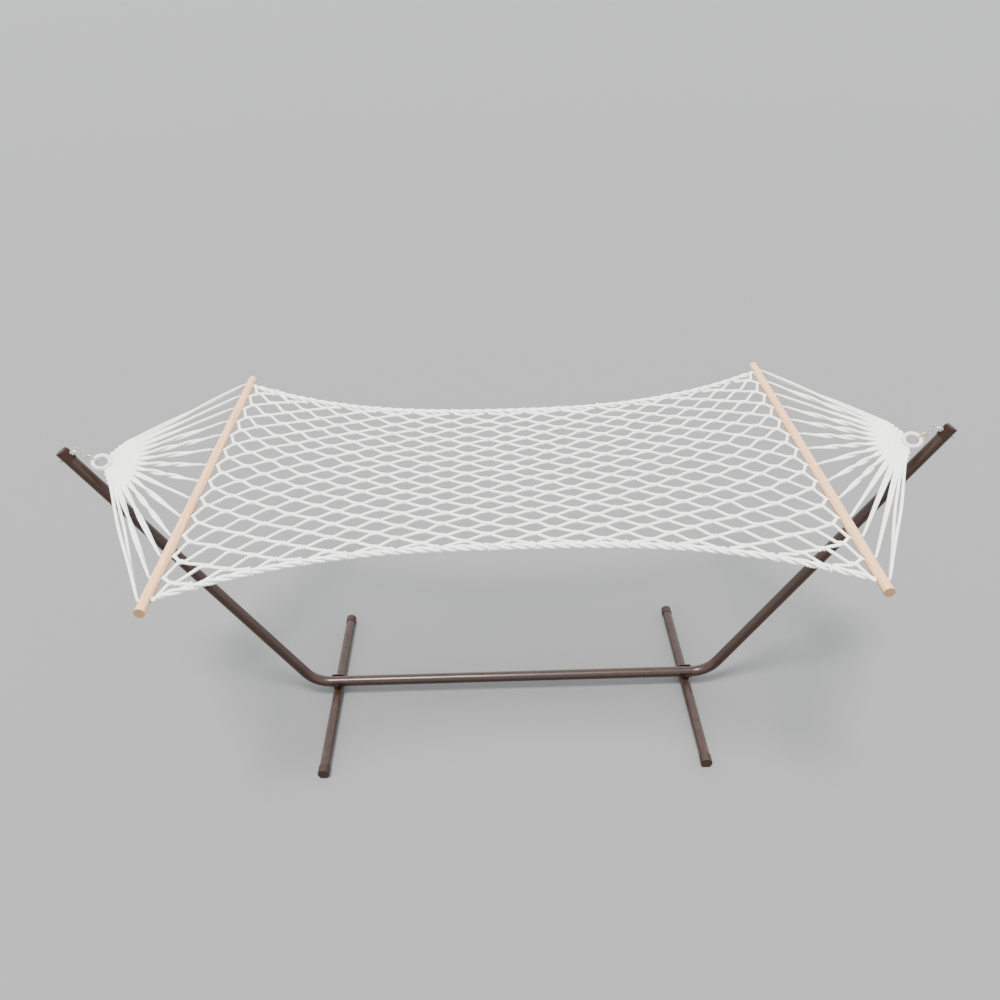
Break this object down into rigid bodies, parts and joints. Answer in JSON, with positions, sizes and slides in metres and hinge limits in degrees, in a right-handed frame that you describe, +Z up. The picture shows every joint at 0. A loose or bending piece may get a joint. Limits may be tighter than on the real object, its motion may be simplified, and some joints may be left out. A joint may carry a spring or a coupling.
{
  "type": "hammock on stand",
  "caption": "Rope net hammock with drilled wooden spreader bars, hung by short chains from a free-standing bent tube stand with cross feet.",
  "frame": {"origin": "on the ground at the middle of the stand", "axes": "+X along the hammock to its right end, +Y to the back, +Z up"},
  "size_m": [3.05, 1.43, 1.215],
  "materials": {
    "bronze_tube": "dark bronze powder coat, semi-gloss",
    "end_cap": "moulded matt",
    "plate": "pale zinc plate",
    "zinc": "zinc plated",
    "yellow_zinc": "yellow zinc plated",
    "dowel": "bare pale hardwood, fine grain",
    "rope": "twisted white cotton"
  },
  "bodies": {
    "stand": {"base_beam": "bronze_tube", "left_elbow": "bronze_tube", "right_elbow": "bronze_tube", "left_arm": "bronze_tube", "right_arm": "bronze_tube", "left_foot": "bronze_tube", "right_foot": "bronze_tube", "left_saddle_bracket": "bronze_tube", "right_saddle_bracket": "bronze_tube", "left_front_foot_cap": "end_cap", "left_back_foot_cap": "end_cap", "right_front_foot_cap": "end_cap", "right_back_foot_cap": "end_cap", "left_arm_cap": "end_cap", "right_arm_cap": "end_cap", "saddle_bolts": "zinc", "saddle_washers": "zinc", "saddle_nuts": "zinc", "joint_bolts": "zinc", "joint_nuts": "zinc", "left_eye_bolt": "zinc", "right_eye_bolt": "zinc", "left_eye_plate": "plate", "right_eye_plate": "plate", "eye_washers": "zinc", "eye_nuts": "zinc"},
    "bed": {"rope_net": "rope", "front_edge_rope": "rope", "back_edge_rope": "rope"},
    "left_end": {"left_chain": "zinc", "left_quick_link": "yellow_zinc", "left_link_sleeve": "yellow_zinc", "left_ring": "zinc", "left_ring_wrap": "rope", "left_clew_wedge": "rope", "left_clew_cords": "rope", "left_spreader_bar": "dowel", "left_head_rope": "rope"},
    "right_end": {"right_chain": "zinc", "right_quick_link": "yellow_zinc", "right_link_sleeve": "yellow_zinc", "right_ring": "zinc", "right_ring_wrap": "rope", "right_clew_wedge": "rope", "right_clew_cords": "rope", "right_spreader_bar": "dowel", "right_head_rope": "rope"}
  },
  "joints": [
    {"name": "bed_swing", "type": "hinge", "parent": "stand", "child": "bed", "pos_m": [0, 0, 1.2082], "axis": [1, 0, 0], "range_deg": [-30, 30]},
    {"name": "left_bar_tilt", "type": "hinge", "parent": "bed", "child": "left_end", "pos_m": [0, 0, 1.2082], "axis": [1, 0, 0], "range_deg": [-8, 8]},
    {"name": "right_bar_tilt", "type": "hinge", "parent": "bed", "child": "right_end", "pos_m": [0, 0, 1.2082], "axis": [1, 0, 0], "range_deg": [-8, 8]}
  ]
}
